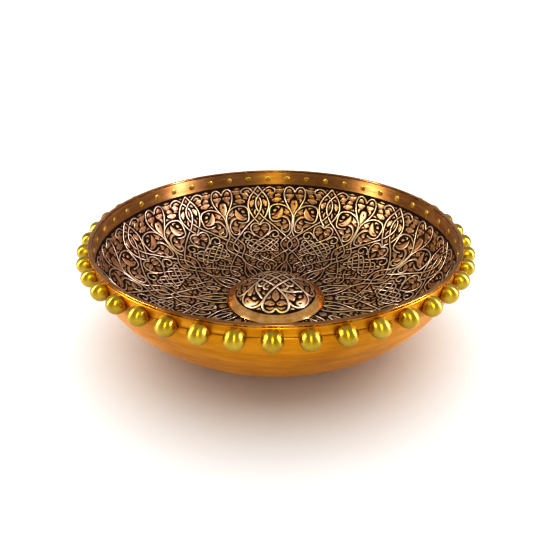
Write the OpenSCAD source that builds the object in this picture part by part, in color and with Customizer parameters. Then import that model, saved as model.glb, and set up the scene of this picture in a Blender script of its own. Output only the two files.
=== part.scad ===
// Round engraved copper basin with two walls, a ring of ball studs and a domed drain cap.
// Z is up, the origin is the middle of the flat base, and lengths are millimetres.

/* [Basin] */
// Outside diameter at the rim
rim_d = 400; // [390:1:410]
// Height of the rim above the base
rim_h = 120; // [118:1:124]
// Diameter of the flat base
base_d = 120; // [116:1:126]
// Thickness of each copper wall
sheet = 0.9; // [0.8:0.05:0.95]
// Width of the polished rim, over both walls
rim_w = 3.8; // [3.6:0.1:4.2]
// Height of the straight band below the rim
band_h = 16; // [15:0.5:17]
// Depth of the bowl inside, from the rim to its flat floor
inside_depth = 98; // [97:0.5:99]

/* [Studs] */
// Number of ball studs round the rim
stud_count = 43; // [24:1:43]
// Diameter of a ball stud
stud_d = 18.4; // [14:0.2:18.6]
// Height of the stud centres below the rim
stud_drop = 12; // [11.5:0.1:12.5]
// How far a ball's centre stands out from the wall
stud_standoff = 4; // [2:0.5:5]
// Diameter of the rivet end inside the bowl
rivet_head_d = 7.6; // [5:0.2:7.8]
// Angle of the first stud from the front
stud_phase = -0.7; // [-4:0.1:4]

/* [Drain cap] */
// Diameter over the brim
brim_d = 118; // [112:1:120]
// Diameter where the dome meets the brim
dome_d = 96; // [92:1:98]
// Height of the dome above the brim
dome_h = 21; // [18:0.5:24]
// Fall of the brim from the dome to its edge
brim_fall = 5.2; // [4.8:0.1:5.4]
// Gap under the brim's edge when the cap is closed
brim_gap = 1.4; // [1.2:0.1:1.5]
// Travel of the cap from closed to open
cap_lift = 10; // [6:1:10]

/* [Drain] */
// Diameter of the drain hole in both walls
drain_hole_d = 45; // [44:0.5:46]
// Outside diameter of the collar's thread, 1 1/4 inch pipe
collar_d = 41.9; // [41.5:0.1:42.5]
// Diameter of the cap's stem
stem_d = 8; // [7:0.5:8]

/* [Hidden] */
$fn = 96;

copper = "#b8662c";
old_copper = "#7a4a2c";
pale_copper = "#d9976b";
brass = "#c9a632";
rubber = "#262626";

// walls
rim_r = rim_d / 2;
base_r = base_d / 2;
inside_r = rim_r - rim_w;
band_z = rim_h - band_h;
floor_z = rim_h - inside_depth;
rim_cap_h = 2.4;
wall_top = rim_h - rim_cap_h;
wall_steps = 28;
inner_side_power = 3.1;
inner_depth_power = 1.9;
outer_side_power = 1.935;
outer_depth_power = 1.8;
scribe_w = 0.5;
scribe_deep = 0.25;

// studs
stud_r = stud_d / 2;
stud_z = rim_h - stud_drop;
shank_r = 1.5;
shank_hole_r = 1.55;
shank_tip = rim_r + stud_standoff + 2;
rivet_head_h = 0.8;
rivet_seat = sqrt(pow(inside_r, 2) - pow(rivet_head_d / 2, 2));

// drain
hole_r = drain_hole_d / 2;
thread_r = collar_d / 2;
thread_fit = 0.05;
recess_r = 37;
recess_top = floor_z - 2 * sheet;
flange_r = 33;
flange_h = 2.5;
gasket_h = 1.5;
gasket_r = 31;
flange_z = floor_z + gasket_h;
seat_z = flange_z + flange_h;
collar_z = 3;
bore_r = 17;
ledge_r = 16;
cross_h = 5;
cross_top = seat_z - 3;
cross_z = cross_top - cross_h;
cross_ring_w = 2;
arm_w = 3;
arm_count = 4;
hub_r = 8;
washer_h = 2;
nut_h = 6;
nut_r = 34;
nut_z = recess_top - washer_h - nut_h;
relief_r = thread_r - 0.7;
relief_h = 0.5;

// stem and its seal ring
stem_r = stem_d / 2;
stem_fit = 0.05;
o_ring_r = 0.95;
o_ring_gap = 0.1;
o_ring_mid = stem_r + o_ring_gap + o_ring_r;
groove_half = 1.05;
small_nut_r = 7;
small_nut_h = 4;
stop_h = 3;
stop_gap = 0.3;
stop_top = cross_z - cap_lift - stop_gap;
stem_end = 1.2;
shoulder_r = 6.5;

// cap
seal_gap = 0.3;
seal_h = 2;
plate_z = seat_z + seal_gap + seal_h;
plate_h = 1.5;
plate_top = plate_z + plate_h;
retainer_h = 1.5;
retainer_z = plate_z - retainer_h;
seal_in_r = 22;
seal_out_r = 30;
shoulder_z = retainer_z - 1.8;
dome_base_r = dome_d / 2;
brim_r = brim_d / 2;
brim_run = brim_r - dome_base_r;
fall_dir = [brim_fall, brim_run] / norm([brim_fall, brim_run]);
dome_z = floor_z + brim_gap + sheet * fall_dir[1] + brim_fall;
dome_curve_r = (pow(dome_base_r, 2) + pow(dome_h, 2)) / (2 * dome_h);
dome_mid_z = dome_z + dome_h - dome_curve_r;
dome_in_r = sqrt(pow(dome_curve_r - sheet, 2) - pow(dome_z - dome_mid_z, 2));
plate_r = sqrt(pow(dome_curve_r - sheet, 2) - pow(plate_top - dome_mid_z, 2));

// One point of a bowl's side, from its straight band at turn 0 to its flat floor at turn 90.
function side_point(turn, top_r, floor_r, top_z, low_z, side_power, depth_power) = [
    floor_r + (top_r - floor_r) * pow(cos(turn), 2 / side_power),
    top_z - (top_z - low_z) * pow(sin(turn), 2 / depth_power)];

// The turn at each step, closer together towards the floor.
function step_turn(i) = 90 * (1 - pow(1 - i / wall_steps, 1.6));

function inner_point(turn) =
    side_point(turn, inside_r, base_r, band_z, floor_z, inner_side_power, inner_depth_power);
function outer_point(turn) =
    side_point(turn, rim_r, base_r, band_z, 0, outer_side_power, outer_depth_power);

// A unit vector square to the side between two of its points, pointing out of the bowl.
function out_normal(lower, upper) = let (d = upper - lower) [d[1], -d[0]] / norm(d);

inner_face = [for (i = [0:wall_steps]) inner_point(step_turn(i))];
outer_face = [for (i = [0:wall_steps]) outer_point(step_turn(i))];

// The same side moved by the sheet's thickness, outwards for 1 and inwards for -1.
function moved_face(face, way) = [for (i = [0:wall_steps])
    i == 0 ? face[0] + way * [sheet, 0]
    : i == wall_steps ? face[i] - way * [0, sheet]
    : face[i] + way * sheet * out_normal(face[i + 1], face[i - 1])];

function reversed(list) = [for (i = [len(list) - 1:-1:0]) list[i]];

module ring(outer, inner, height) {
    rotate_extrude() translate([inner, 0]) square([outer - inner, height]);
}

module each_stud() {
    for (i = [0:stud_count - 1]) {
        rotate([0, 0, stud_phase - 90 + i * 360 / stud_count]) children();
    }
}

module shank_holes() {
    each_stud() {
        translate([inside_r - 3, 0, stud_z]) rotate([0, 90, 0]) cylinder(r = shank_hole_r, h = rim_w + 6);
    }
}

module hex(radius, height) {
    cylinder(r = radius, h = height, $fn = 6);
}

// Bowl that holds the water, with the engraved face inside.
module inner_bowl() {
    back = reversed(moved_face(inner_face, 1));
    color(old_copper) difference() {
        rotate_extrude() polygon(concat([[inside_r, wall_top]], inner_face,
            [[hole_r, floor_z], [hole_r, floor_z - sheet]], back, [[inside_r + sheet, wall_top]]));
        shank_holes();
    }
}

// Outer wall with the flat base and the recess for the lock nut.
module outer_shell() {
    back = reversed(moved_face(outer_face, -1));
    color(copper) difference() {
        rotate_extrude() polygon(concat([[rim_r, wall_top]], outer_face,
            [[recess_r, 0], [recess_r, recess_top], [hole_r, recess_top], [hole_r, recess_top + sheet],
            [recess_r + sheet, recess_top + sheet], [recess_r + sheet, sheet]],
            back, [[rim_r - sheet, wall_top]]));
        translate([0, 0, stud_z - scribe_w / 2]) ring(rim_r + 1, rim_r - scribe_deep, scribe_w);
        shank_holes();
    }
}

// Rim bar: a flat top over both walls and a tongue that spaces them.
module rim_ring() {
    color(pale_copper) difference() {
        union() {
            translate([0, 0, wall_top]) ring(rim_r, inside_r, rim_cap_h);
            translate([0, 0, band_z]) ring(rim_r - sheet, inside_r + sheet, wall_top - band_z);
        }
        shank_holes();
    }
}

// Brass balls, each cut flat where it sits on the wall and bored for its rivet.
module ball_studs() {
    color(brass) each_stud() difference() {
        translate([rim_r + stud_standoff, 0, stud_z]) sphere(r = stud_r);
        translate([rim_r - stud_d, -stud_r, stud_z - stud_r]) cube(stud_d);
        translate([rim_r - 1, 0, stud_z]) rotate([0, 90, 0])
            cylinder(r = shank_hole_r, h = shank_tip - rim_r + 1);
    }
}

// Brass rivets that hold the balls, with their heads inside the bowl.
module stud_rivets() {
    head_in = rivet_seat - rivet_head_h;
    color(brass) each_stud() translate([0, 0, stud_z]) rotate([0, 90, 0]) {
        translate([0, 0, head_in]) cylinder(r = rivet_head_d / 2, h = rivet_head_h);
        translate([0, 0, head_in]) cylinder(r = shank_r, h = shank_tip - head_in);
    }
}

// Flanged brass tube through the drain hole, with a ledge inside for the guide cross. A relief groove
// under the lock nut leaves the lower end of the thread free for a waste pipe.
module drain_collar() {
    color(brass) rotate_extrude() polygon([
        [ledge_r, collar_z], [thread_r, collar_z], [thread_r, nut_z - relief_h], [relief_r, nut_z - relief_h],
        [relief_r, nut_z], [thread_r, nut_z], [thread_r, flange_z], [flange_r, flange_z],
        [flange_r, seat_z], [bore_r, seat_z], [bore_r, cross_z], [ledge_r, cross_z]]);
}

module collar_gasket() {
    color(rubber) translate([0, 0, floor_z]) ring(gasket_r, thread_r, gasket_h);
}

module lower_washer() {
    color(rubber) translate([0, 0, recess_top - washer_h]) ring(gasket_r, thread_r, washer_h);
}

module lock_nut() {
    color(brass) translate([0, 0, nut_z]) difference() {
        hex(nut_r, nut_h);
        translate([0, 0, -1]) cylinder(r = thread_r + thread_fit, h = nut_h + 2);
    }
}

// Cross with a hub that guides the stem and leaves four windows for the water.
module guide_cross() {
    color(brass) translate([0, 0, cross_z]) difference() {
        union() {
            ring(bore_r, bore_r - cross_ring_w, cross_h);
            cylinder(r = hub_r, h = cross_h);
            for (i = [0:arm_count - 1]) {
                rotate([0, 0, 45 + i * 360 / arm_count]) translate([hub_r - 1, -arm_w / 2, 0])
                    cube([bore_r - cross_ring_w - hub_r + 2, arm_w, cross_h]);
            }
        }
        translate([0, 0, -1]) cylinder(r = stem_r + stem_fit, h = cross_h + 2);
        translate([0, 0, cross_h / 2 - groove_half])
            cylinder(r = o_ring_mid + o_ring_r, h = 2 * groove_half);
    }
}

module stem_o_ring() {
    color(rubber) translate([0, 0, cross_z + cross_h / 2])
        rotate_extrude() translate([o_ring_mid, 0]) circle(r = o_ring_r, $fn = 32);
}

// Copper dome and brim in one sheet, open underneath.
module cap_cover() {
    under = dome_z - sheet * fall_dir[1];
    under_r = dome_base_r - sheet * fall_dir[0];
    color(old_copper) union() {
        intersection() {
            translate([0, 0, dome_mid_z]) difference() {
                sphere(r = dome_curve_r);
                sphere(r = dome_curve_r - sheet);
            }
            translate([0, 0, dome_z]) cylinder(r = dome_curve_r, h = dome_h + 1);
        }
        rotate_extrude() polygon([
            [dome_base_r, dome_z],
            [brim_r, dome_z - brim_fall],
            [brim_r - sheet * fall_dir[0], under - brim_fall],
            [dome_in_r, under + (under_r - dome_in_r) * brim_fall / brim_run],
            [dome_in_r, dome_z]]);
    }
}

module backing_plate() {
    color(brass) translate([0, 0, plate_z]) ring(plate_r, stem_r, plate_h);
}

module plug_seal() {
    color(rubber) translate([0, 0, plate_z - seal_h]) ring(seal_out_r, seal_in_r, seal_h);
}

module seal_retainer() {
    color(brass) translate([0, 0, retainer_z]) ring(seal_in_r, stem_r, retainer_h);
}

// Stem with a shoulder under the retainer.
module cap_stem() {
    top = plate_top + small_nut_h + 2;
    bottom = stop_top - stop_h - stem_end;
    color(brass) union() {
        translate([0, 0, bottom]) cylinder(r = stem_r, h = top - bottom);
        translate([0, 0, shoulder_z]) cylinder(r = shoulder_r, h = retainer_z - shoulder_z);
    }
}

module stem_nut() {
    color(brass) translate([0, 0, plate_top]) difference() {
        hex(small_nut_r, small_nut_h);
        translate([0, 0, -1]) cylinder(r = stem_r, h = small_nut_h + 2);
    }
}

// Nut at the foot of the stem that stops the cap's travel under the hub.
module stem_stop() {
    color(brass) translate([0, 0, stop_top - stop_h]) difference() {
        hex(small_nut_r, stop_h);
        translate([0, 0, -1]) cylinder(r = stem_r, h = stop_h + 2);
    }
}

inner_bowl();
outer_shell();
rim_ring();
ball_studs();
stud_rivets();
drain_collar();
collar_gasket();
lower_washer();
lock_nut();
guide_cross();
stem_o_ring();
cap_cover();
backing_plate();
plug_seal();
seal_retainer();
cap_stem();
stem_nut();
stem_stop();
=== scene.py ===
import math
import random

import bpy
import numpy as np
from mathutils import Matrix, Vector
from mathutils.kdtree import KDTree


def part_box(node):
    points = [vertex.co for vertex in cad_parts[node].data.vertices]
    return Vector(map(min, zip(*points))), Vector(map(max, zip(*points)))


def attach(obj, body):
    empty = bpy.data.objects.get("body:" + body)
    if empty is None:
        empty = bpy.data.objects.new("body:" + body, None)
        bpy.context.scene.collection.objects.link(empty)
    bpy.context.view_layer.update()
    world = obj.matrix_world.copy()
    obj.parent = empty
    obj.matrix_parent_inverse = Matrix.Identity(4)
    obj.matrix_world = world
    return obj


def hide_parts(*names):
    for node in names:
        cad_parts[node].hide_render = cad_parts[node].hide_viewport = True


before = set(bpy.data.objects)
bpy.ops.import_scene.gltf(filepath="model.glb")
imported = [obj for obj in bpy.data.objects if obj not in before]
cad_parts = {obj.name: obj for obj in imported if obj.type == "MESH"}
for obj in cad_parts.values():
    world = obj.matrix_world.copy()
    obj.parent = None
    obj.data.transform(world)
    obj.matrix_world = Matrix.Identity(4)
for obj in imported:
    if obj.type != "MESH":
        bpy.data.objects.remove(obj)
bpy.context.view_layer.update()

random.seed(7)

MM = 0.001

# ---------- measures, in mm, as in the CAD
# Basin. The walls are straight in the band under the rim, and curved from there to the flat base.
RIM_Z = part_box("rim_ring")[1][2] / MM
WALL_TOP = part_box("inner_bowl")[1][2] / MM
FLOOR_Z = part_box("collar_gasket")[0][2] / MM
RIM_R = 200.0
RIM_W = 3.8
SHEET = 0.9
INSIDE_R = RIM_R - RIM_W
BASE_R = 60.0
BAND_Z = RIM_Z - 16
INNER_CURVE = (3.1, 1.9)
OUTER_CURVE = (1.935, 1.8)
HOLE_R = 22.5
RECESS_R = 37.0
RECESS_TOP = FLOOR_Z - 2 * SHEET
SCRIBE = 0.25

# Studs and their rivets. The first stud stands just to the left of the front.
STUD_COUNT = 43
STUD_PHASE = math.radians(-90.7)
STUD_Z = RIM_Z - 12
STUD_R = 9.2
STUD_STANDOFF = 4.0
RIVET_R = 3.8

# Engraving. The first almond stands just to the left of the back. LEAF_GAP is the space round a
# small leaf, and FINER_BELOW is the share of their width that straps and leaves keep low down.
ENGRAVED_Z = RIM_Z - 21.6
REPEATS = 11
ALMOND_ANGLE = math.pi / 2 + 0.138
STRAP_W = 1.6
STRAP_H = 0.55
LEAF_H = 0.48
LEAF_FULLNESS = 1.08
LEAF_GAP = 1.85
VEINED_FROM_W = 3.4
FINER_BELOW = 0.72

# Cap
CAP_TOP_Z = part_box("cap_cover")[1][2] / MM
DOME_BASE_R = 48.0
DOME_H = 21.0
BRIM_R = 59.0
BRIM_FALL = 5.2
DOME_STRAP_W = 2.3
DOME_STRAP_H = 0.6
DOME_LEAF_H = 0.55
DOME_FILL_H = 0.5

# How finely the pieces are cut: points along a path, in mm, and facets round the axis
STRAP_STEP = 0.8
DOME_STRAP_STEP = 0.95
LEAF_STEP = 0.9
RING_SEGMENTS = 344
CAP_SEGMENTS = 192

# ---------- surfaces of revolution


def distances(points):
    """How far along its path each point lies."""
    return np.concatenate([[0], np.cumsum(np.linalg.norm(np.diff(points, axis=0), axis=1))])


def evenly(points, length, count):
    """count points along a path, evenly spread by the given lengths of its points."""
    at = np.linspace(0, length[-1], count)
    return np.stack([np.interp(at, length, points[:, k]) for k in (0, 1)], 1)


def bowl_side(top_r, low_z, curve):
    """Points (r, z) down a bowl's side, from its straight band to its flat floor. The side is a
    quarter of a superellipse, and curve holds its powers across and down."""
    across_power, down_power = curve
    # The steps are finer towards the floor, where the radius changes fastest.
    turn = math.pi / 2 * (1 - (1 - np.linspace(0, 1, 500)) ** 1.6)
    r = BASE_R + (top_r - BASE_R) * np.cos(turn) ** (2 / across_power)
    z = BAND_Z - (BAND_Z - low_z) * np.sin(turn) ** (2 / down_power)
    return np.stack([r, z], 1)


class Skin:
    """A turned surface, measured by the distance s along its profile of (r, z). side is 1 where the
    profile runs out from the axis with its visible face on top, and -1 where it runs in. s is 0 at
    the profile's start, or at the height zero_z."""

    def __init__(self, profile, side, zero_z=None):
        self.r, self.z = profile[:, 0], profile[:, 1]
        self.s = distances(profile)
        if zero_z is not None:
            self.s -= np.interp(-zero_z, -self.z, self.s)
        slope = np.gradient(profile, self.s, axis=0)
        slope /= np.linalg.norm(slope, axis=1)[:, None]
        self.nr, self.nz = -side * slope[:, 1], side * slope[:, 0]

    def radius(self, s):
        """The surface's radius in mm."""
        return np.interp(s, self.s, self.r)

    def at(self, angle, s, lift):
        """Points in metres, lifted off the surface by lift mm."""
        r = np.interp(s, self.s, self.r) + lift * np.interp(s, self.s, self.nr)
        z = np.interp(s, self.s, self.z) + lift * np.interp(s, self.s, self.nz)
        return np.stack([r * np.cos(angle), r * np.sin(angle), z], -1) * MM


inner_side = bowl_side(INSIDE_R, FLOOR_Z, INNER_CURVE)
outer_side = bowl_side(RIM_R, 0.0, OUTER_CURVE)
inner_skin = Skin(
    np.concatenate([[[INSIDE_R, WALL_TOP]], inner_side, [[HOLE_R, FLOOR_Z]]]), -1, ENGRAVED_Z
)
S_BRIM = float(np.interp(-BRIM_R, -inner_skin.r, inner_skin.s))

# The dome is part of a ball, with its centre far below the cap.
dome_curve_r = (DOME_BASE_R**2 + DOME_H**2) / (2 * DOME_H)
dome_mid_z = CAP_TOP_Z - dome_curve_r
dome_z = dome_mid_z + math.sqrt(dome_curve_r**2 - DOME_BASE_R**2)
dome_turn = np.linspace(0, math.asin(DOME_BASE_R / dome_curve_r), 200)
dome_skin = Skin(
    np.stack([dome_curve_r * np.sin(dome_turn), dome_mid_z + dome_curve_r * np.cos(dome_turn)], 1), 1
)
S_DOME = float(dome_skin.s[-1])

# ---------- mesh tools


def make_object(name, verts, faces, materials, face_kinds=None, attributes=None):
    """A smooth-shaded mesh object. face_kinds holds each face's place in materials."""
    mesh = bpy.data.meshes.new(name)
    mesh.from_pydata([tuple(v) for v in verts], [], faces)
    for material in materials:
        mesh.materials.append(material)
    if face_kinds is not None:
        mesh.polygons.foreach_set("material_index", list(face_kinds))
    mesh.polygons.foreach_set("use_smooth", [True] * len(mesh.polygons))
    for key, values in (attributes or {}).items():
        layer = mesh.attributes.new(key, "FLOAT", "POINT")
        layer.data.foreach_set("value", list(values))
    mesh.update()
    obj = bpy.data.objects.new(name, mesh)
    bpy.context.scene.collection.objects.link(obj)
    return obj


def turned(name, profile, segments, materials, kinds=None):
    """A ring of revolution from a closed profile of (r, z) in mm. kinds holds the place in materials
    of the face that starts at each profile point."""
    profile = np.asarray(profile, float)
    n = len(profile)
    angle = np.linspace(0, 2 * math.pi, segments, endpoint=False)
    verts = np.stack(
        [
            np.outer(np.cos(angle), profile[:, 0]),
            np.outer(np.sin(angle), profile[:, 0]),
            np.tile(profile[:, 1], (segments, 1)),
        ],
        -1,
    ).reshape(-1, 3) * MM
    faces, face_kinds = [], []
    for i in range(segments):
        j = (i + 1) % segments
        for k in range(n):
            m = (k + 1) % n
            faces.append((i * n + k, j * n + k, j * n + m, i * n + m))
            face_kinds.append(kinds[k] if kinds else 0)
    return make_object(name, verts, faces, materials, face_kinds)


def thick_sheet(face, side):
    """The face's other side, one sheet away. side 1 is outwards, -1 is inwards."""
    slope = np.gradient(face, axis=0)
    slope /= np.linalg.norm(slope, axis=1)[:, None]
    return face + side * SHEET * np.stack([-slope[:, 1], slope[:, 0]], 1)


def thinned(points, count):
    """Evenly spread points along an outline."""
    return evenly(points, distances(points), count)


def rounded(corners, radius, steps=5):
    """A closed outline with its corners rounded. A radius of 0 keeps a corner."""
    out = []
    n = len(corners)
    for k in range(n):
        p, a, b = (np.array(corners[i % n], float) for i in (k, k - 1, k + 1))
        r = radius[k]
        if r == 0:
            out.append(tuple(p))
            continue
        ua = (a - p) / np.linalg.norm(a - p)
        ub = (b - p) / np.linalg.norm(b - p)
        for t in np.linspace(0, 1, steps):
            out.append(tuple(p + ua * r * (1 - t) ** 2 + ub * r * t**2))
    return out


def ring_of(name, outline, seat, material, segments):
    """A turned knob for each stud, round the rim, in one mesh. outline is (out, radius) along each
    knob's axis, counted from seat, and each end is closed by a fan of triangles."""
    outline = np.asarray(outline, float)
    m = len(outline)
    around = np.linspace(0, 2 * math.pi, segments, endpoint=False)
    verts, faces = [], []
    for k in range(STUD_COUNT):
        a = STUD_PHASE + k * 2 * math.pi / STUD_COUNT
        out = np.array([math.cos(a), math.sin(a), 0])
        side_way = np.array([-math.sin(a), math.cos(a), 0])
        first = k * (m * segments + 2)
        last = first + (m - 1) * segments
        start_pole = first + m * segments
        end_pole = start_pole + 1
        for far, r in outline:
            for t in around:
                level = np.array([0, 0, STUD_Z + r * math.sin(t)])
                verts.append((out * (seat + far) + side_way * r * math.cos(t)) + level)
        for far in (outline[0][0], outline[-1][0]):
            verts.append(out * (seat + far) + np.array([0, 0, STUD_Z]))
        for row in range(first, last, segments):
            for j in range(segments):
                n = (j + 1) % segments
                faces.append((row + j, row + n, row + segments + n, row + segments + j))
        for j in range(segments):
            n = (j + 1) % segments
            faces.append((start_pole, first + n, first + j))
            faces.append((end_pole, last + j, last + n))
    return make_object(name, np.array(verts) * MM, faces, [material])


# ---------- engraving tools


def smooth(points, detail=10):
    """A Catmull-Rom curve through the points, with detail steps from each point to the next."""
    p = np.asarray(points, float)
    p = np.concatenate([2 * p[:1] - p[1:2], p, 2 * p[-1:] - p[-2:-1]])
    t = np.linspace(0, 1, detail, endpoint=False)[:, None]
    out = []
    for a, b, c, d in zip(p, p[1:], p[2:], p[3:]):
        square = (2 * a - 5 * b + 4 * c - d) * t**2
        cube = (3 * b - a - 3 * c + d) * t**3
        out.append(0.5 * (2 * b + (c - a) * t + square + cube))
    out.append(p[-2:-1])
    return np.concatenate(out)


def spread(values, count):
    """The values stretched evenly over count points."""
    return np.interp(np.linspace(0, 1, count), np.linspace(0, 1, len(values)), values)


def resample(place, path, step):
    """The path with its points step mm apart on the surface."""
    length = distances(place(path, 0.0) / MM)
    return evenly(path, length, max(3, int(round(length[-1] / step)) + 1))


def cross_section(foot, shoulder, shoulder_lift, top):
    """A strip's cross section: (offset in half widths, lift in heights, relief) across it, where
    relief is 0 on the dark foot and 1 on the bright top."""
    left = [(-foot, -0.3, 0.0), (-shoulder, shoulder_lift, 0.8), (-top, 1.0, 1.0)]
    return left + [(-offset, lift, relief) for offset, lift, relief in left[::-1]]


STRAP = cross_section(1.3, 0.9, 0.75, 0.4)
LEAF = cross_section(1.1, 0.88, 0.7, 0.45)
VEIN_ROW = 3
VEINED = LEAF[:VEIN_ROW] + [(0.0, 0.45, 0.15)] + LEAF[VEIN_ROW:]
STRAP_KIND = 0
LEAF_KIND = 1


class Relief:
    """Raised strips on a surface, gathered as one mesh. place turns (n, 2) points and a lift in mm
    into points in metres. Each vertex carries its relief, and its strip's tone from 0 to 1."""

    # A strip's end reaches this many widths further, is pinched to this share of its width, and
    # sinks by this share of its height.
    END_REACH = 0.28
    END_PINCH = 0.6
    END_SINK = 0.3

    def __init__(self, place):
        self.place = place
        self.verts, self.faces, self.kinds = [], [], []
        self.relief, self.tone, self.count = [], [], 0

    def strip(self, path, width, height, section, kind, tone):
        """Adds a strip along the path. Its ends slope down into the surface."""
        n = len(path)
        if n < 3:
            return
        width = np.broadcast_to(np.asarray(width, float), (n,))
        spots = self.place(path, 0.0)
        up = self.place(path, 1.0) - spots
        up /= np.linalg.norm(up, axis=1)[:, None]
        along = np.gradient(spots, axis=0)
        along /= np.maximum(np.linalg.norm(along, axis=1), 1e-9)[:, None]
        across = np.cross(up, along)
        across /= np.linalg.norm(across, axis=1)[:, None]
        offs, lifts, brights = (np.tile(column, (n, 1)) for column in np.array(section).T)
        if section is VEINED:
            # The vein is a notch that starts near one end and closes before the middle.
            t = np.linspace(0, 1, n)
            fade = np.clip(np.minimum(t * 8 - 0.4, 2.2 - t * 5), 0, 1)
            for values in (lifts, brights):
                values[:, VEIN_ROW] = 1 - fade * (1 - values[:, VEIN_ROW])
        half_width = (offs * width[:, None] / 2 * MM)[..., None]
        rise = (lifts * height * MM)[..., None]
        body = spots[:, None] + across[:, None] * half_width + up[:, None] * rise
        ends = []
        for k, way in ((0, -1), (-1, 1)):
            centre = spots[k] + along[k] * way * self.END_REACH * max(width[k], 0.6) * MM
            sink = up[k] * self.END_SINK * height * MM
            wide = across[k] * self.END_PINCH
            row = [centre + wide * offset * width[k] / 2 * MM - sink for offset, _, _ in section]
            ends.append(np.stack(row))
        body = np.concatenate([ends[0][None], body, ends[1][None]])
        m = len(section)
        base = self.count
        self.verts.append(body.reshape(-1, 3))
        bright = np.concatenate([0 * brights[:1], brights, 0 * brights[:1]])
        self.relief.append(bright.ravel())
        self.tone.append(np.full(bright.size, tone))
        for i in range(n + 1):
            for j in range(m - 1):
                a = base + i * m + j
                self.faces.append((a, a + 1, a + m + 1, a + m))
                self.kinds.append(kind)
        self.count += body.shape[0] * m

    def piece(self, name, materials, turn=0.0):
        """The strips as one object, turned about the axis."""
        verts = np.concatenate(self.verts)
        c, s = math.cos(turn), math.sin(turn)
        across = verts[:, 0] * c - verts[:, 1] * s
        along = verts[:, 0] * s + verts[:, 1] * c
        attributes = {"relief": np.concatenate(self.relief), "tone": np.concatenate(self.tone)}
        turned_verts = np.stack([across, along, verts[:, 2]], 1)
        return make_object(name, turned_verts, self.faces, materials, self.kinds, attributes)


# ---------- the bowl's pattern
# A repeat is drawn in (x, s), in mm: x is the distance round the bowl at the engraving's upper edge,
# from the almond's axis, and s is the distance down the wall. The heart's axis is at half the pitch.

PITCH = 2 * math.pi * INSIDE_R / REPEATS
HALF = PITCH / 2


def bowl_place(path, lift):
    """(x, s) on the bowl to points in metres. The almond's axis is at angle 0."""
    return inner_skin.at(-path[:, 0] / INSIDE_R, path[:, 1], lift)


def mirrored(path):
    """The path on the other side of x = 0."""
    return path * [-1, 1]


def knot(centre, half_w, half_h, sweeps_across, sweeps_down):
    """A closed woven path that bounces between the sides of a rectangle."""
    t = np.linspace(0, 1, 64 * sweeps_down, endpoint=False)

    def bounce(v):
        """From 1 down to -1 and back as v goes from 0 to 1, slower near the turns."""
        v = 4 * np.abs(v % 1 - 0.5) - 1
        return np.sin(v * math.pi / 2) * 0.35 + v * 0.65

    # The offsets keep the path out of the corners, where it would run back on itself.
    x = bounce(sweeps_across * t + 0.07)
    y = bounce(sweeps_down * t + 0.02)
    path = np.stack([centre[0] + half_w * x, centre[1] + half_h * y], 1)
    # A moving average rounds the turns.
    kernel = np.ones(7) / 7
    wrapped = np.concatenate([path[-3:], path, path[:3]])
    path = np.stack([np.convolve(wrapped[:, k], kernel, "valid") for k in (0, 1)], 1)
    return np.concatenate([path, path[:1]])


def bowl_straps():
    """Straps of one whole repeat: those of the right half, their mirror images and the knot."""
    h = HALF
    half = [
        # almond
        [(0, 1.5), (7, 10), (13, 18), (16.3, 28.5), (13.6, 39.5), (8, 49.5), (0, 57.8)],
        # strap inside the almond, which runs on as a long diagonal, round the stem and under the knot
        [(6.5, 10), (2, 14), (-2.6, 20), (-4.3, 27), (-3, 34.5), (2, 42.5), (9, 50), (24, 61.5), (45, 78.5),
         (h, 87), (60.6, 93.5), (60.3, 100), (h, 106.3), (45, 113), (26, 126), (7, 137), (-6, 147),
         (-9, 155), (-4, 161), (1, 158)],
        # heart, stem and vase
        [(h, 10.5), (52.5, 5), (47, 2.6), (42, 5.5), (40, 13), (41.5, 21.5), (46, 30.5), (51.5, 38.5),
         (h - 1.1, 46), (h - 1.1, 58), (h - 1.3, 70), (51, 77.5), (43, 84.5), (37.6, 93.5), (40.5, 102.5),
         (48.5, 111.5), (h - 1.1, 119), (h - 1.1, 127), (h - 1.3, 134), (49.5, 141), (40, 149), (31, 157),
         (25, 166), (24, 176)],
        # large scroll
        [(h - 1.4, 44), (51, 37.5), (44, 32), (36, 28.8), (28, 28.6), (20.5, 31), (17, 36.5), (17, 43.5),
         (18, 50), (22, 54), (29, 54.6), (36, 53)],
        # small scroll
        [(39, 47), (44.5, 48.5), (49.3, 53), (51.8, 59.5), (51.2, 67), (47.5, 71.8), (42, 72.4), (38, 69),
         (37.6, 63.5)],
        # small heart
        [(0, 59.5), (5.5, 56.8), (11.5, 57.3), (16, 61), (16.8, 67.5), (13, 74.5), (6, 80.3), (0, 83.5)],
        # curl beside the small heart
        [(12, 78.5), (17, 73), (24, 69.7), (30.5, 72), (32.5, 77), (29.5, 81), (24.5, 81.3), (21.5, 78.5),
         (23.5, 75.8)],
        # curl under the rim
        [(8.5, 8), (13.5, 4), (19.5, 3.3), (24.8, 6.2), (25.6, 11)],
        # curl under the knot
        [(15, 114.5), (20, 117), (25.5, 121.5), (25, 127), (19.5, 128.5), (16.5, 125)],
        # arms of the cross under the knot
        [(9, 121), (4, 125.5), (-4, 130.5), (-18.6, 135.5), (-29, 143), (-27, 151), (-20, 151)],
        # tendril near the brim
        [(h, 147), (49, 153), (47, 161), (50, 169), (h, 176)],
    ]
    half = [smooth(points) for points in half]
    whole = [p for path in half for p in (path, mirrored(path))]
    whole.append(knot((0, 98), 34, 14.5, sweeps_across=3, sweeps_down=5))
    under_cap = S_BRIM + 6
    return [resample(bowl_place, p[p[:, 1] <= under_cap], STRAP_STEP) for p in whole]


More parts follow.
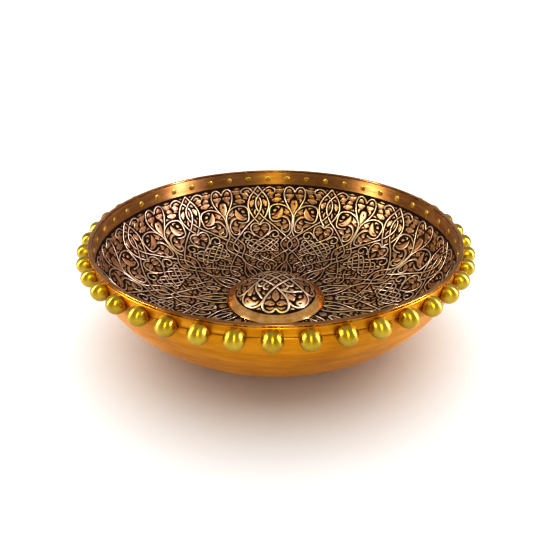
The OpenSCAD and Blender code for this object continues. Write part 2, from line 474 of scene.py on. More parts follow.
def crossings(straps, period):
    """Where straps cross, with neighbours one period away: (strap, index, strap, index)."""
    shifts = (0,) if period is None else (-period, 0, period)
    found = []
    for i, a in enumerate(straps):
        for j, b in enumerate(straps):
            for shift in shifts:
                if j < i or (i == j and shift < 0):
                    continue
                p, q = a[:-1], a[1:]
                u, v = b[:-1] + [shift, 0], b[1:] + [shift, 0]
                if p[:, 0].max() < u[:, 0].min() or u[:, 0].max() < p[:, 0].min():
                    continue
                d1, d2 = q - p, v - u
                w = u[None] - p[:, None]
                den = d1[:, None, 0] * d2[None, :, 1] - d1[:, None, 1] * d2[None, :, 0]
                den = np.where(np.abs(den) < 1e-9, np.inf, den)
                t = (w[..., 0] * d2[None, :, 1] - w[..., 1] * d2[None, :, 0]) / den
                r = (w[..., 0] * d1[:, None, 1] - w[..., 1] * d1[:, None, 0]) / den
                hit = (t > 0) & (t <= 1) & (r > 0) & (r <= 1)
                if i == j and shift == 0:
                    # A strap doesn't cross its own next steps, or itself where its loop closes.
                    k = np.arange(len(p))
                    hit &= k[None, :] > k[:, None] + 3
                    hit[0, -3:] = False
                found += [(i, int(m), j, int(n)) for m, n in zip(*np.nonzero(hit))]
    return found


def weave(straps, period=None):
    """Which samples of each strap to leave out, so that straps pass over and under in turn. The
    straps with most crossings are settled first."""
    meets = crossings(straps, period)
    along = {}
    for n, (i, m, j, k) in enumerate(meets):
        along.setdefault(i, []).append((m, n, 0))
        along.setdefault(j, []).append((k, n, 1))
    over = {}
    for i in sorted(along, key=lambda strap: -len(along[strap])):
        was_over = False
        for _, n, side in sorted(along[i]):
            if n not in over:
                over[n] = 1 - side if was_over else side
            was_over = over[n] == side
    cut = [np.zeros(len(s), bool) for s in straps]
    for n, (i, m, j, k) in enumerate(meets):
        strap, at = (j, k) if over[n] == 0 else (i, m)
        # The lower strap leaves out two samples on each side of the crossing.
        cut[strap][max(0, at - 1) : at + 3] = True
    return cut


def runs(keep):
    """The stretches of a boolean array that are true, as slices."""
    edge = np.flatnonzero(np.diff(np.concatenate([[0], keep.astype(int), [0]])))
    return [slice(a, b) for a, b in zip(edge[::2], edge[1::2])]


def fill_leaves(relief, taken, x_range, s_range, metric, clear_of_edge, closer, longest, widest):
    """Grows small leaves along the middle of every gap, largest gap first. taken holds the paths
    that are there already. metric(s) is real mm for each mm of x, clear_of_edge(x, s) is the room
    up to the area's edge, and closer(s) is how much nearer a leaf may come to its neighbours.
    Returns (path, width) pairs in pattern coordinates."""
    step = 0.9
    pace = 0.7
    turns = (-0.32, -0.16, 0.0, 0.16, 0.32)
    turn_cost = 0.05
    margin = 12
    room_to_start = LEAF_GAP + 1.0
    room_to_go_on = LEAF_GAP + 0.2
    ss = np.arange(s_range[0], s_range[1], step)
    xs = np.arange(x_range[0], x_range[1] + 1e-6, step)
    grid_x, grid_s = np.meshgrid(xs, ss, indexing="ij")
    flat = np.stack([grid_x.ravel(), grid_s.ravel()], 1)
    spots = relief.place(flat, 0.0) / MM
    samples = np.concatenate(taken)
    near = (samples[:, 0] > x_range[0] - margin) & (samples[:, 0] < x_range[1] + margin)
    samples = relief.place(samples[near], 0.0) / MM
    tree = KDTree(len(samples))
    for i, p in enumerate(samples):
        tree.insert(p, i)
    tree.balance()
    room = np.array([tree.find(p)[2] for p in spots]) - STRAP_W / 2 * 1.1
    room = room.reshape(grid_x.shape)
    nearer = closer(grid_s)
    room = np.minimum(room, clear_of_edge(grid_x, grid_s)) + nearer
    spots = spots.reshape(grid_x.shape + (3,))

    def look(x, s):
        """The room round a point, or -1 outside the area."""
        i, j = (x - xs[0]) / step, (s - ss[0]) / step
        if not (0 <= i < len(xs) - 1 and 0 <= j < len(ss) - 1):
            return -1.0
        a, b = int(i), int(j)
        fx, fs = i - a, j - b
        top = room[a, b] * (1 - fx) + room[a + 1, b] * fx
        low = room[a, b + 1] * (1 - fx) + room[a + 1, b + 1] * fx
        return top * (1 - fs) + low * fs

    def walk(x, s, heading, reach):
        """Follows the middle of the gap from a point."""
        path = []
        for _ in range(int(reach / pace)):
            best = None
            for turn in turns:
                a = heading + turn
                nx, ns = x + pace * math.cos(a) / metric(s), s + pace * math.sin(a)
                value = look(nx, ns) - turn_cost * abs(turn)
                if best is None or value > best[0]:
                    best = (value, a, nx, ns)
            if best[0] < room_to_go_on:
                break
            heading, x, s = best[1:]
            path.append((x, s))
        return path

    leaves = []
    for _ in range(900):
        i, j = divmod(int(room.argmax()), room.shape[1])
        if room[i, j] < room_to_start:
            break
        x, s = xs[i], ss[j]
        best = None
        for a in np.arange(0, math.pi, math.pi / 8):
            front, back = walk(x, s, a, longest / 2), walk(x, s, a + math.pi, longest / 2)
            if best is None or len(front) + len(back) > len(best):
                best = back[::-1] + [(x, s)] + front
        if len(best) < 3:
            room[max(0, i - 1) : i + 2, max(0, j - 1) : j + 2] = 0
            continue
        path = np.array(best)
        if len(path) > 4:
            path[1:-1] = (path[:-2] + path[1:-1] * 2 + path[2:]) / 4
        t = np.linspace(0, 1, len(path))
        if random.random() < 0.5:
            t = 1 - t
        # A leaf is widest nearer its foot, and runs to a blunt point.
        shape = np.sin(math.pi * t**0.72) ** 0.62 + 0.06
        free = np.array([look(*p) for p in path]) - LEAF_GAP
        width = 2 * np.clip(np.minimum(free, widest / 2) * shape, 0.2, None)
        leaves.append((path, width))
        centre = relief.place(path, 0.0) / MM
        for c, w in zip(centre, width):
            room = np.minimum(room, np.linalg.norm(spots - c, axis=2) - w / 2 + nearer)
    return leaves


bowl_relief = Relief(bowl_place)
straps = bowl_straps()
for path, cut in zip(straps, weave(straps, PITCH)):
    tone = 0.5 + random.uniform(-0.15, 0.15)
    width = STRAP_W * np.interp(path[:, 1], [95, 165], [1.0, FINER_BELOW])
    for part in runs(~cut):
        bowl_relief.strip(path[part], width[part], STRAP_H, STRAP, STRAP_KIND, tone)

petals = []


def petal(points, widths, veined=True):
    """A leaf given as its middle line and its widths in mm."""
    path = smooth(points, detail=6)
    width = spread(widths, len(path))
    petals.append((path, width * np.interp(path[:, 1], [80, 150], [LEAF_FULLNESS, FINER_BELOW]), veined))


# halves of the leaf in the heart, and its bud
petal([(54.2, 14.5), (48.6, 16.6), (43, 14.6)], [2, 8, 2])
petal([(HALF, 23.5), (HALF, 29), (HALF, 35), (HALF, 42)], [8, 10.4, 6.4, 0.8])
# trefoil in the small heart
petal([(1.5, 65.5), (6, 66), (10.5, 67.5), (13, 68.5)], [2, 6, 6, 1.5])
petal([(0, 71), (0, 75), (0, 79.5)], [1.5, 5.5, 1.5], False)
# round leaf, cup and bud between the almond and the heart
petal([(15, 14.5), (19, 13.5), (24, 11.5)], [2, 9, 2])
petal([(25.5, 6.5), (33, 9.3), (39.5, 5.5)], [1, 8, 1])
petal([(21.5, 22.5), (28.5, 22), (35, 20.5)], [3, 8, 3])
# comma and buds in the large scroll
petal([(21.5, 48.5), (27, 48), (32.5, 45), (35.8, 39.5), (36.8, 33.3)], [2.2, 6.2, 8.2, 6, 0.8])
petal([(23.6, 38.8), (25.5, 37.6), (27.6, 36)], [1.5, 4.4, 1.5], False)
petal([(41, 40.6), (45, 40), (49, 40)], [2, 8, 2])
# leaves round the small scroll
petal([(36.5, 47.2), (41, 46.3), (46, 48.5), (50, 54)], [0.8, 3.4, 3.2, 1.5], False)
petal([(25, 57.8), (31, 59), (36.5, 62.5)], [0.8, 6, 2])
petal([(38.5, 66.5), (43, 62.5), (48.5, 59)], [2.5, 7.5, 1.5])
# leaves in the almond
petal([(7.5, 21.5), (10.5, 26), (11.3, 31)], [2, 6.4, 2])
petal([(5.5, 35), (7, 39.5), (6.5, 43.5)], [0.8, 2.6, 0.8], False)
# leaves in the vase, under the knot and beside the stem
petal([(41.5, 91), (45, 95), (47, 101)], [2, 6.5, 2])
petal([(0, 116), (0, 119), (0, 122)], [2, 4.4, 1], False)
petal([(17.5, 120.5), (20, 123), (21, 125.5)], [1, 3.4, 1], False)
petal([(HALF, 139.5), (HALF, 145), (HALF, 151), (HALF, 156)], [1.5, 8, 10, 1])
petal([(46, 117.5), (44, 123.5), (47.5, 130)], [1, 7, 1])
petal([(26, 133), (33, 133), (40, 136)], [1, 6, 1])
petal([(33.5, 79.5), (37, 82.5), (39.5, 86)], [1, 4.4, 1], False)

# A leaf on one of the two axes is its own mirror image.
hand_made = []
for path, width, veined in petals:
    hand_made.append((path, width, veined))
    if np.ptp(path[:, 0]) > 1e-3:
        hand_made.append((mirrored(path), width, veined))

# What the small leaves keep clear of: the straps of three repeats, and each leaf's middle and sides.
taken = [path + [shift, 0] for shift in (0, PITCH, -PITCH) for path in straps]
for path, width, veined in hand_made:
    for shift in (0, PITCH):
        for side in (-0.5, 0.0, 0.5):
            taken.append(path + [shift, 0] + np.stack([side * width, 0 * width], 1))
    line = resample(bowl_place, path, LEAF_STEP)
    section = VEINED if veined else LEAF
    bowl_relief.strip(line, spread(width, len(line)), LEAF_H, section, LEAF_KIND, random.uniform(0.2, 0.8))


def bowl_scale(s):
    """Real distance round the bowl for each mm of x."""
    return float(inner_skin.radius(s)) / INSIDE_R


def bowl_edges(x, s):
    """Room left by the engraving's upper edge, and by its end just under the cap."""
    return np.minimum(np.minimum(s - 0.2, S_BRIM + 5 - s), 9.0)


def bowl_nearer(s):
    """Small leaves stand a little closer together low in the bowl."""
    return np.interp(s, [85, 130], [0.0, 0.1])


bowl_area = ((0.0, HALF), (0.0, S_BRIM + 5))
for path, width in fill_leaves(
    bowl_relief, taken, *bowl_area, bowl_scale, bowl_edges, bowl_nearer, longest=11.0, widest=8.0
):
    section = VEINED if width.max() > VEINED_FROM_W else LEAF
    tone = random.uniform(0.1, 0.9)
    bowl_relief.strip(path, width, LEAF_H, section, LEAF_KIND, tone)
    bowl_relief.strip(mirrored(path), width, LEAF_H, section, LEAF_KIND, tone)

# ---------- the dome's pattern
# Drawn flat in (x, y) mm from the dome's top, with the front heart's axis along -y.


def dome_place(path, lift):
    """(x, y) round the dome's top to points in metres."""
    return dome_skin.at(np.arctan2(path[:, 1], path[:, 0]), np.hypot(path[:, 0], path[:, 1]), lift)


def turn_path(path, quarter):
    """The path turned about the dome's top by a number of quarter turns."""
    a = quarter * math.pi / 2
    c, s = math.cos(a), math.sin(a)
    return path @ np.array([[c, s], [-s, c]])


dome_relief = Relief(dome_place)
# One side of a heart, from its notch to its tip. It runs on straight to the next heart's tip.
heart_side = [
    (0, -46.5), (4.5, -50.3), (10, -50.4), (15, -47), (16.3, -41), (13.8, -34), (9, -27.5), (0, -17),
]
next_heart = [(y, x) for x, y in heart_side[::-1]]
dome_quarter = [
    smooth(heart_side + [(-8.5, -8.5)] + next_heart),
    # middle strap of the knot, with a curl at each side of its end
    smooth([(0, 0), (-9.5, -9.5), (-13, -12.2), (-14.3, -16), (-12.6, -19.6), (-9, -20.8)]),
    smooth([(-12.2, -13), (-16, -14.3), (-19.6, -12.6), (-20.8, -9)]),
    # loop round the comma leaf
    smooth([(-35.5, -14.5), (-40.5, -20), (-41.8, -27), (-38.5, -34), (-34, -38.5), (-27, -41.8),
            (-20, -40.5), (-15.8, -36.5)]),
    # stem beside the comma leaf
    smooth([(-21.5, -6.5), (-23.6, -13), (-22.4, -20), (-19.3, -27), (-16.4, -32.5)]),
]
dome_straps = [turn_path(path, quarter) for quarter in range(4) for path in dome_quarter]
dome_straps = [resample(dome_place, path, DOME_STRAP_STEP) for path in dome_straps]
for path, cut in zip(dome_straps, weave(dome_straps)):
    for part in runs(~cut):
        dome_relief.strip(path[part], DOME_STRAP_W, DOME_STRAP_H, STRAP, STRAP_KIND, 0.5)

# Leaves of a quarter of the dome: middle line, widths, veined, and whether it has a mirror image.
dome_petals = [
    ([(0, -22.5), (0, -27), (0, -32), (0, -38)], [1, 7, 9, 1], True, False),
    ([(1.8, -41.5), (6, -40.2), (10.2, -39.6), (12.8, -40.5)], [2.6, 6.4, 6.4, 2], True, True),
    ([(2.8, -45.6), (6.6, -46.8), (11.4, -45.2)], [1.4, 3.6, 1.4], False, True),
    ([(-8.0, -16.2), (-9.6, -15.4)], [4.6, 4.6], False, True),
    ([(-27, -12.5), (-30.5, -17.5), (-32, -22.5)], [2, 8, 6], True, False),
    ([(-36, -25.5), (-35, -31), (-30.5, -35.3), (-25, -37), (-20.5, -35)], [5, 9.4, 8.4, 5, 1.4],
     True, False),
    ([(-28, -28), (-25.5, -30.5), (-23.3, -31.5)], [2, 4.4, 1.4], False, False),
    ([(-19.3, -16.8), (-19.6, -19), (-18.6, -21.4)], [2, 3.6, 1.4], False, False),
    ([(-14.6, -23.6), (-14.2, -26), (-12.6, -28)], [2, 3.6, 1.2], False, False),
    ([(-3.4, -3.2), (-6, -5.4)], [1.4, 1.4], False, False),
    ([(0, -6.4), (0, -8.5), (0, -11)], [3.2, 5.6, 2.4], False, False),
]
dome_taken = list(dome_straps)
for points, widths, veined, both in dome_petals:
    path = resample(dome_place, smooth(points, detail=6), LEAF_STEP)
    width = spread(widths, len(path))
    section = VEINED if veined else LEAF
    for quarter in range(4):
        for half in (path, mirrored(path)) if both else (path,):
            leaf = turn_path(half, quarter)
            dome_relief.strip(leaf, width, DOME_LEAF_H, section, LEAF_KIND, random.uniform(0.3, 0.8))
            for way in ((0, 0), (0.4, 0), (-0.4, 0), (0, 0.4), (0, -0.4)):
                dome_taken.append(leaf + np.outer(width, way))


def dome_edges(x, y):
    """Room left by the dome's edge and by the quarter's sides."""
    inside = np.minimum(-x - y, x - y) / math.sqrt(2) + 0.6
    return np.minimum(np.minimum(S_DOME - 1.2 - np.hypot(x, y), inside), 9.0)


def dome_scale(s):
    """The dome's drawing is nearly at full size everywhere."""
    return 1.0


def dome_nearer(s):
    """Small leaves stand this much closer together all over the dome."""
    return 0.5


dome_area = ((-40.0, 40.0), (-S_DOME, 0.0))
for path, width in fill_leaves(
    dome_relief, dome_taken, *dome_area, dome_scale, dome_edges, dome_nearer, longest=9.0, widest=5.0
):
    tone = random.uniform(0.2, 0.8)
    for quarter in range(4):
        dome_relief.strip(turn_path(path, quarter), width, DOME_FILL_H, LEAF, LEAF_KIND, tone)

# ---------- materials

SOOT = (0.006, 0.003, 0.002)
# Turns the shader's anisotropy, so that highlights are drawn out up and down.
UPRIGHT = 0.25


class Nodes:
    """A material with a Principled shader, and short calls for its node tree."""

    def __init__(self, name, metallic=1.0, **sockets):
        self.material = bpy.data.materials.new(name)
        self.material.use_nodes = True
        self.tree = self.material.node_tree
        self.shader = next(n for n in self.tree.nodes if n.type == "BSDF_PRINCIPLED")
        self.shader.inputs["Metallic"].default_value = metallic
        for key, value in sockets.items():
            self.shader.inputs[key.replace("_", " ")].default_value = value

    def node(self, kind, **settings):
        node = self.tree.nodes.new(kind)
        for key, value in settings.items():
            setattr(node, key, value)
        return node

    def link(self, out, into):
        self.tree.links.new(out, into)

    def coords(self):
        """Object coordinates, in metres."""
        return self.node("ShaderNodeTexCoord").outputs["Object"]

    def feed(self, value, socket):
        """Gives a socket its number, vector or colour, or links another socket to it."""
        if isinstance(value, bpy.types.NodeSocket):
            self.link(value, socket)
        elif socket.type == "RGBA":
            socket.default_value = (*value, 1)
        else:
            socket.default_value = value

    def vector(self, operation, *values):
        """A Vector Math node's result."""
        node = self.node("ShaderNodeVectorMath", operation=operation)
        for value, socket in zip(values, node.inputs):
            self.feed(value, socket)
        return node.outputs["Value" if operation == "LENGTH" else "Vector"]

    def polar(self, around, out, up):
        """Coordinates that follow a turned surface. X and Y go round it, on a circle of radius
        around. Z is the distance from the axis times out, plus the height times up."""
        where = self.coords()
        flat = self.vector("MULTIPLY", where, (1, 1, 0))
        circle = self.vector("MULTIPLY", self.vector("NORMALIZE", flat), (around, around, 0))
        height = self.vector("MULTIPLY", where, (0, 0, up))
        distance = self.vector("MULTIPLY", self.vector("LENGTH", flat), (0, 0, out))
        return self.vector("ADD", self.vector("ADD", circle, height), distance)

    def noise(self, vector, scale, detail=3.0, rough=0.55):
        noise = self.node("ShaderNodeTexNoise")
        noise.inputs["Scale"].default_value = scale
        noise.inputs["Detail"].default_value = detail
        noise.inputs["Roughness"].default_value = rough
        self.link(vector, noise.inputs["Vector"])
        return noise.outputs["Fac"]

    def attribute(self, name):
        return self.node("ShaderNodeAttribute", attribute_name=name).outputs["Fac"]

    def ramp(self, value, *stops):
        """stops are (place, colour or grey)."""
        ramp = self.node("ShaderNodeValToRGB")
        points = ramp.color_ramp.elements
        while len(points) < len(stops):
            points.new(0.5)
        for point, (at, colour) in zip(points, stops):
            point.position = at
            grey = isinstance(colour, (int, float))
            point.color = (colour, colour, colour, 1) if grey else (*colour, 1)
        self.link(value, ramp.inputs["Fac"])
        return ramp.outputs["Color"]

    def mix(self, factor, a, b):
        """Colour a where the factor is 0, and b where it is 1."""
        mix = self.node("ShaderNodeMix", data_type="RGBA")
        self.feed(factor, mix.inputs["Factor"])
        self.feed(a, mix.inputs[6])
        self.feed(b, mix.inputs[7])
        return mix.outputs[2]

    def worn_top(self, top):
        """The top colour as metal where the engraving is high, and soot without metal lower down."""
        high = self.ramp(self.attribute("relief"), (0.4, 0.0), (0.8, 1.0))
        self.link(high, self.shader.inputs["Metallic"])
        return self.mix(high, SOOT, top)

    def finish(self, colour, roughness, bump=None, strength=0.2, distance=0.0003):
        """Wires up the shader and returns the material. distance is the bump's depth in metres."""
        self.link(colour, self.shader.inputs["Base Color"])
        self.link(roughness, self.shader.inputs["Roughness"])
        if bump is not None:
            node = self.node("ShaderNodeBump")
            node.inputs["Strength"].default_value = strength
            node.inputs["Distance"].default_value = distance
            self.link(bump, node.inputs["Height"])
            self.link(node.outputs["Normal"], self.shader.inputs["Normal"])
        return self.material


def ground_material():
    """Sunk ground of the engraving, black with old patina and grainy."""
    m = Nodes("ground_patina", metallic=0.0, Specular_IOR_Level=0.03)
    where = m.coords()
    cloud = m.noise(where, 45, 4)
    grain = m.noise(where, 900, 2)
    colour = m.ramp(cloud, (0.3, SOOT), (0.55, (0.014, 0.006, 0.004)), (0.8, (0.035, 0.015, 0.009)))
    return m.finish(colour, m.ramp(grain, (0.3, 0.5), (0.7, 0.75)), grain, 0.5, 0.0004)


def strap_material():
    """Raised straps: pinkish worn copper on top, dark down the sides."""
    m = Nodes("strap_copper", Specular_IOR_Level=0.05)
    where = m.coords()
    patch = m.noise(where, 22, 3)
    fine = m.noise(where, 420, 3)
    worn = m.ramp(patch, (0.3, (0.64, 0.45, 0.31)), (0.5, (0.75, 0.56, 0.41)), (0.72, (0.88, 0.70, 0.55)))
    worn = m.mix(m.ramp(fine, (0.4, 0.0), (0.8, 0.3)), worn, (0.24, 0.12, 0.06))
    return m.finish(m.worn_top(worn), m.ramp(fine, (0.3, 0.3), (0.7, 0.44)), fine, 0.25, 0.0002)


def leaf_material():
    """Leaves: orange-brown copper, each a little different, with dark veins and sides."""
    m = Nodes("leaf_copper", Specular_IOR_Level=0.05)
    where = m.coords()
    patch = m.noise(where, 30, 3)
    fine = m.noise(where, 500, 3)
    warm = m.mix(m.attribute("tone"), (0.34, 0.155, 0.07), (0.62, 0.36, 0.20))
    warm = m.mix(m.ramp(patch, (0.35, 0.0), (0.7, 0.45)), warm, (0.60, 0.40, 0.24))
    warm = m.mix(m.ramp(fine, (0.4, 0.0), (0.75, 0.4)), warm, (0.10, 0.045, 0.02))
    return m.finish(m.worn_top(warm), m.ramp(fine, (0.3, 0.3), (0.7, 0.46)), fine, 0.35, 0.0002)


def turned_copper(name, dark, middle, light, rough_low, rough_high, bump, rise=1, stretch=0.8):
    """Copper spun or brushed round the axis: fine level lines, soft patches and small scratches.
    rise is -1 on a face that falls as it runs outwards, and 1 elsewhere. stretch is how far the
    highlights are drawn out across the lines."""
    m = Nodes(name, Anisotropic=stretch, Anisotropic_Rotation=UPRIGHT)
    lines = m.noise(m.polar(1.6, 260, rise * 520), 1.0, 6, 0.7)
    patches = m.noise(m.polar(3.5, 18, rise * 30), 1.0, 3)
    streaks = m.noise(m.polar(6, 70, rise * 190), 1.0, 4, 0.6)
    marks = m.noise(m.coords(), 160, 4)
    colour = m.ramp(m.mix(0.6, patches, streaks), (0.36, dark), (0.5, middle), (0.64, light))
    colour = m.mix(m.ramp(lines, (0.35, 0.0), (0.65, 0.4)), colour, dark)
    colour = m.mix(m.ramp(marks, (0.62, 0.0), (0.8, 0.35)), colour, light)
    rough = m.ramp(m.mix(0.5, lines, marks), (0.35, rough_low), (0.65, rough_high))
    return m.finish(colour, rough, lines, bump)


def brass_material(name, colour_a, colour_b, rough_low, rough_high, bump=0.05, stretch=0.0):
    """Polished brass with faint cloudy tarnish and hairline marks. stretch draws its highlights out
    up and down, as level polishing does."""
    m = Nodes(name, Anisotropic=stretch, Anisotropic_Rotation=UPRIGHT)
    where = m.coords()
    cloud = m.noise(where, 60, 3)
    fine = m.noise(where, 700, 3)
    colour = m.mix(m.ramp(cloud, (0.3, 0.0), (0.7, 1.0)), colour_a, colour_b)
    rough = m.ramp(m.mix(0.5, cloud, fine), (0.35, rough_low), (0.65, rough_high))
    return m.finish(colour, rough, fine, bump, 0.0002)


def rubber_material():
    """Matt black rubber with a fine grain."""
    m = Nodes("black_rubber", metallic=0.0)
    fine = m.noise(m.coords(), 400, 3)
    colour = m.ramp(fine, (0.3, (0.015, 0.015, 0.016)), (0.7, (0.035, 0.034, 0.034)))
    return m.finish(colour, m.ramp(fine, (0.3, 0.55), (0.7, 0.75)), fine)


ground = ground_material()
strap_metal = strap_material()
leaf_metal = leaf_material()
band_copper = turned_copper(
    "band_copper", (0.38, 0.16, 0.04), (0.50, 0.245, 0.08), (0.66, 0.38, 0.16), 0.44, 0.54, 0.03,
    stretch=1.0,
)
shell_copper = turned_copper(
    "shell_copper", (0.44, 0.165, 0.003), (0.58, 0.24, 0.006), (0.72, 0.33, 0.02), 0.28, 0.44, 0.16
)
rim_copper = turned_copper(
    "rim_copper", (0.27, 0.105, 0.022), (0.39, 0.17, 0.042), (0.56, 0.29, 0.09), 0.16, 0.30, 0.05
)
brim_copper = turned_copper(
    "brim_copper", (0.58, 0.27, 0.07), (0.78, 0.42, 0.13), (0.92, 0.58, 0.26), 0.12, 0.22, 0.06,
    rise=-1, stretch=0.5,
)
hidden_copper = turned_copper(
    "hidden_copper", (0.36, 0.17, 0.08), (0.48, 0.24, 0.11), (0.60, 0.34, 0.18), 0.35, 0.55, 0.2
)
stud_brass = brass_material("stud_brass", (0.41, 0.27, 0.02), (0.56, 0.40, 0.05), 0.26, 0.34, stretch=0.8)
rivet_brass = brass_material("rivet_brass", (0.42, 0.30, 0.04), (0.80, 0.58, 0.12), 0.25, 0.45, 0.3)
drain_brass = brass_material("drain_brass", (0.60, 0.43, 0.16), (0.72, 0.55, 0.26), 0.2, 0.36, 0.1)
black_rubber = rubber_material()
scribe_dark = brass_material("scribe_dark", (0.05, 0.025, 0.015), (0.10, 0.05, 0.03), 0.5, 0.7, 0.2)

# ---------- bowl, shell and rim
# Outlines are closed and in mm, as (r, z). Each face has the place of its material in a list.


def rows(points):
    """The points of an array as a list of tuples."""
    return [tuple(point) for point in points]


# Inner bowl: plain band, groove along the engraving, dark ground, floor and back.
band_curve = inner_side[inner_side[:, 1] > ENGRAVED_Z + 1.0]
band = [(INSIDE_R, z) for z in np.linspace(WALL_TOP, BAND_Z, 10)] + rows(thinned(band_curve, 6)[1:])
edge_r = float(np.interp(-ENGRAVED_Z, -inner_side[:, 1], inner_side[:, 0]))
groove = [
    (edge_r, ENGRAVED_Z + 0.8), (edge_r + 0.3, ENGRAVED_Z + 0.6), (edge_r + 0.3, ENGRAVED_Z + 0.2),
    (edge_r, ENGRAVED_Z),
]
side = thinned(inner_side, 120)
face = band + groove + rows(side[side[:, 1] < ENGRAVED_Z]) + [(HOLE_R, FLOOR_Z)]
back = thick_sheet(thinned(inner_side, 40), 1)[::-1]
back = back[back[:, 0] < INSIDE_R + SHEET]
profile = face + [(HOLE_R, FLOOR_Z - SHEET), (BASE_R, FLOOR_Z - SHEET)] + rows(back[1:-1])
profile += [(INSIDE_R + SHEET, BAND_Z), (INSIDE_R + SHEET, WALL_TOP)]
kinds = [0] * (len(band) - 1) + [1] * (len(face) - len(band)) + [2] * (len(profile) - len(face) + 1)
inner = turned("bowl_inside", profile, RING_SEGMENTS, [band_copper, ground, hidden_copper], kinds)
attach(inner, "basin")
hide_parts("inner_bowl")

# Outer shell, with the scribed line at the studs' height and the recess for the lock nut below.
upper = [(RIM_R, z) for z in np.linspace(WALL_TOP, STUD_Z + SCRIBE, 8)]
line = [(RIM_R - SCRIBE, STUD_Z + SCRIBE), (RIM_R - SCRIBE, STUD_Z - SCRIBE)]
lower = [(RIM_R, STUD_Z - SCRIBE), (RIM_R, (STUD_Z + BAND_Z) / 2)] + rows(thinned(outer_side, 110))
recess = [
    (RECESS_R + 0.6, 0.0), (RECESS_R + 0.15, 0.2), (RECESS_R, 0.7), (RECESS_R, RECESS_TOP),
    (HOLE_R, RECESS_TOP), (HOLE_R, RECESS_TOP + SHEET), (RECESS_R + SHEET, RECESS_TOP + SHEET),
    (RECESS_R + SHEET, SHEET), (BASE_R, SHEET),
]
inside = rows(thick_sheet(thinned(outer_side, 50), -1)[-2:0:-1])
inside += [(RIM_R - SHEET, BAND_Z), (RIM_R - SHEET, WALL_TOP)]
shell_profile = upper + line + lower + recess + inside
first_line = len(upper) - 1
shell_kinds = [1 if first_line <= k < first_line + 3 else 0 for k in range(len(shell_profile))]
shell = turned("outer_wall", shell_profile, RING_SEGMENTS, [shell_copper, scribe_dark], shell_kinds)
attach(shell, "basin")
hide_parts("outer_shell")

# Rim: a bar over both walls, with a tongue between them and its two upper edges rounded.
rim_outline = rounded(
    [(INSIDE_R, WALL_TOP), (INSIDE_R + SHEET, WALL_TOP), (INSIDE_R + SHEET, BAND_Z),
     (RIM_R - SHEET, BAND_Z), (RIM_R - SHEET, WALL_TOP), (RIM_R, WALL_TOP), (RIM_R, RIM_Z),
     (INSIDE_R, RIM_Z)],
    [0, 0, 0, 0, 0, 0, 0.9, 0.9],
)
rim = turned("rim_edge", rim_outline, RING_SEGMENTS, [rim_copper])
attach(rim, "basin")
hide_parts("rim_ring")

# Engraving: one piece for each repeat.
for k in range(REPEATS):
    turn = ALMOND_ANGLE + k * 2 * math.pi / REPEATS
    piece = bowl_relief.piece(f"engraving_{k:02d}", [strap_metal, leaf_metal], turn)
    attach(piece, "basin")

# ---------- studs and rivets
# A stud is a ball whose back is cut flat where it meets the wall. A rivet end is a low rounded disc.
seat_turn = math.acos(-STUD_STANDOFF / STUD_R)
turns = np.linspace(seat_turn, 0.1, 22)
ball_outline = [(STUD_STANDOFF + STUD_R * math.cos(t), STUD_R * math.sin(t)) for t in turns]
balls = ring_of("stud_balls", ball_outline, RIM_R, stud_brass, 40)
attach(balls, "basin")
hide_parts("ball_studs")

rivet_outline = [
    (0.0, RIVET_R), (-0.35, RIVET_R), (-0.6, RIVET_R - 0.3), (-0.78, RIVET_R - 1.1), (-0.8, 0.4),
]
rivet_seat = math.sqrt(INSIDE_R**2 - RIVET_R**2)
rivets = ring_of("rivet_ends", rivet_outline, rivet_seat, rivet_brass, 24)
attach(rivets, "basin")
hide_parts("stud_rivets")

# ---------- drain cap
# One sheet: the dark ground of the dome, the polished brim, and the plain underside.


def dome_points(radius, turns):
    """Points (r, z) on the dome's ball at the given radius."""
    return [(radius * math.sin(turn), dome_mid_z + radius * math.cos(turn)) for turn in turns]


AXIS_R = 0.02
brim_z = dome_z - BRIM_FALL
dome_face = [(AXIS_R, CAP_TOP_Z)] + dome_points(dome_curve_r, dome_turn[8::4])
brim_face = [
    (DOME_BASE_R + 0.1, dome_z - 0.15), (DOME_BASE_R + 0.8, dome_z - 0.2),
    (DOME_BASE_R + 3, dome_z - 0.95), (DOME_BASE_R + 6, dome_z - 2.2), (DOME_BASE_R + 9, dome_z - 3.8),
    (BRIM_R - 0.5, brim_z + 0.2), (BRIM_R - 0.1, brim_z - 0.1), (BRIM_R - 0.25, brim_z - 0.5),
]
under = [(BRIM_R - 1, brim_z - 0.55), (DOME_BASE_R + 6, dome_z - 3.4), (DOME_BASE_R - 0.6, dome_z - 0.9)]
under += dome_points(dome_curve_r - SHEET, dome_turn[190:0:-10]) + [(AXIS_R, CAP_TOP_Z - SHEET)]
cap_profile = dome_face + brim_face + under
cap_kinds = [0] * len(dome_face) + [1] * len(brim_face) + [2] * len(under)
cap = turned("cap_dome", cap_profile, CAP_SEGMENTS, [ground, brim_copper, hidden_copper], cap_kinds)
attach(cap, "cap")
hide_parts("cap_cover")
cap_engraving = dome_relief.piece("cap_engraving", [strap_metal, leaf_metal])
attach(cap_engraving, "cap")

# ---------- drain, from the CAD


def dress(material, *names):
    """Gives CAD nodes their material."""
    for name in names:
        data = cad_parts[name].data
        data.materials.clear()
        data.materials.append(material)


dress(drain_brass, "drain_collar", "lock_nut", "guide_cross", "backing_plate", "seal_retainer")
dress(drain_brass, "cap_stem", "stem_nut", "stem_stop")
dress(black_rubber, "collar_gasket", "lower_washer", "stem_o_ring", "plug_seal")

# ---------- floor, light and camera


def floor_material():
    """Matt, nearly white and a little uneven."""
    m = Nodes("studio_floor", metallic=0.0)
    cloud = m.noise(m.coords(), 2.0, 2)
    colour = m.ramp(cloud, (0.3, (0.93, 0.93, 0.93)), (0.7, (0.95, 0.95, 0.95)))
    return m.finish(colour, m.ramp(cloud, (0.3, 0.75), (0.7, 0.85)))


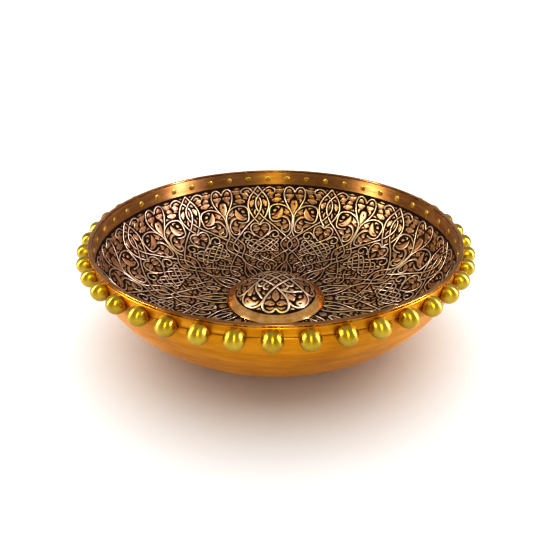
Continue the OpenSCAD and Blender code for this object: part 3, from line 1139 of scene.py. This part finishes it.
# The floor lies just under the base, so that the two faces don't coincide.
bpy.ops.mesh.primitive_circle_add(vertices=96, radius=3.5, fill_type="NGON", location=(0, 0, -0.0002))
floor = bpy.context.object
floor.name = "studio_floor"
floor.data.materials.append(floor_material())

# The studio: white at the horizon, and a soft grey dome overhead.
world = bpy.data.worlds.new("studio")
bpy.context.scene.world = world
world.use_nodes = True
sky = world.node_tree
background = next(n for n in sky.nodes if n.type == "BACKGROUND")
way = sky.nodes.new("ShaderNodeTexCoord")
apart = sky.nodes.new("ShaderNodeSeparateXYZ")
shade = sky.nodes.new("ShaderNodeValToRGB")
low, high = shade.color_ramp.elements
low.position = 0.02
low.color = (1.0, 1.0, 1.0, 1)
high.position = 0.2
high.color = (0.55, 0.53, 0.51, 1)
sky.links.new(way.outputs["Generated"], apart.inputs[0])
sky.links.new(apart.outputs["Z"], shade.inputs["Fac"])
sky.links.new(shade.outputs["Color"], background.inputs["Color"])


def softbox(name, place, aim, size, power, colour):
    """A rectangular area light. size is its width and height in metres, and power is in watts."""
    light = bpy.data.lights.new(name, "AREA")
    light.shape = "RECTANGLE"
    light.size, light.size_y = size
    light.energy = power
    light.color = colour
    obj = bpy.data.objects.new(name, light)
    bpy.context.scene.collection.objects.link(obj)
    obj.location = place
    obj.rotation_euler = (Vector(aim) - Vector(place)).to_track_quat("-Z", "Y").to_euler()
    return obj


# Two narrow strips at the sides, one yellow lamp in front, and one wide lamp that lights only the
# floor. The first three leave the floor out, so that it stays pale and plain.
middle = (0, 0, 0.08)
key = softbox("key", (-1.05, -0.17, 0.62), middle, (0.07, 0.8), 16, (1.0, 0.95, 0.8))
fill = softbox("fill", (1.08, -0.2, 0.6), middle, (0.07, 0.8), 19, (0.88, 0.86, 1.0))
front = softbox("front", (0.05, -1.4, 1.35), middle, (0.25, 1.0), 13, (1.0, 0.88, 0.1))
floor_light = softbox("floor_light", (0.0, 1.0, 2.6), (0.0, 1.0, 0.0), (5.0, 5.0), 130, (0.90, 0.96, 1.0))


def lights_only(light, obj, state):
    """Makes a light shine on one object only (INCLUDE), or on all but that one (EXCLUDE)."""
    group = bpy.data.collections.new(light.name + "_receivers")
    group.objects.link(obj)
    group.collection_objects[0].light_linking.link_state = state
    light.light_linking.receiver_collection = group


for light in (key, fill, front):
    lights_only(light, floor, "EXCLUDE")
lights_only(floor_light, floor, "INCLUDE")

view = bpy.context.scene.view_settings
view.view_transform = "Standard"
view.exposure = 0.17
view.gamma = 0.86

# The camera stands in front and looks down at the bowl, as the photograph's does.
camera_data = bpy.data.cameras.new("camera")
camera = bpy.data.objects.new("camera", camera_data)
bpy.context.scene.collection.objects.link(camera)
camera_data.sensor_width = 36.0
camera_data.lens = 32.64
camera.location = (0.0, -0.5162, 0.3386)
camera.rotation_euler = (math.radians(61.13), 0.0, 0.0016)
bpy.context.scene.camera = camera
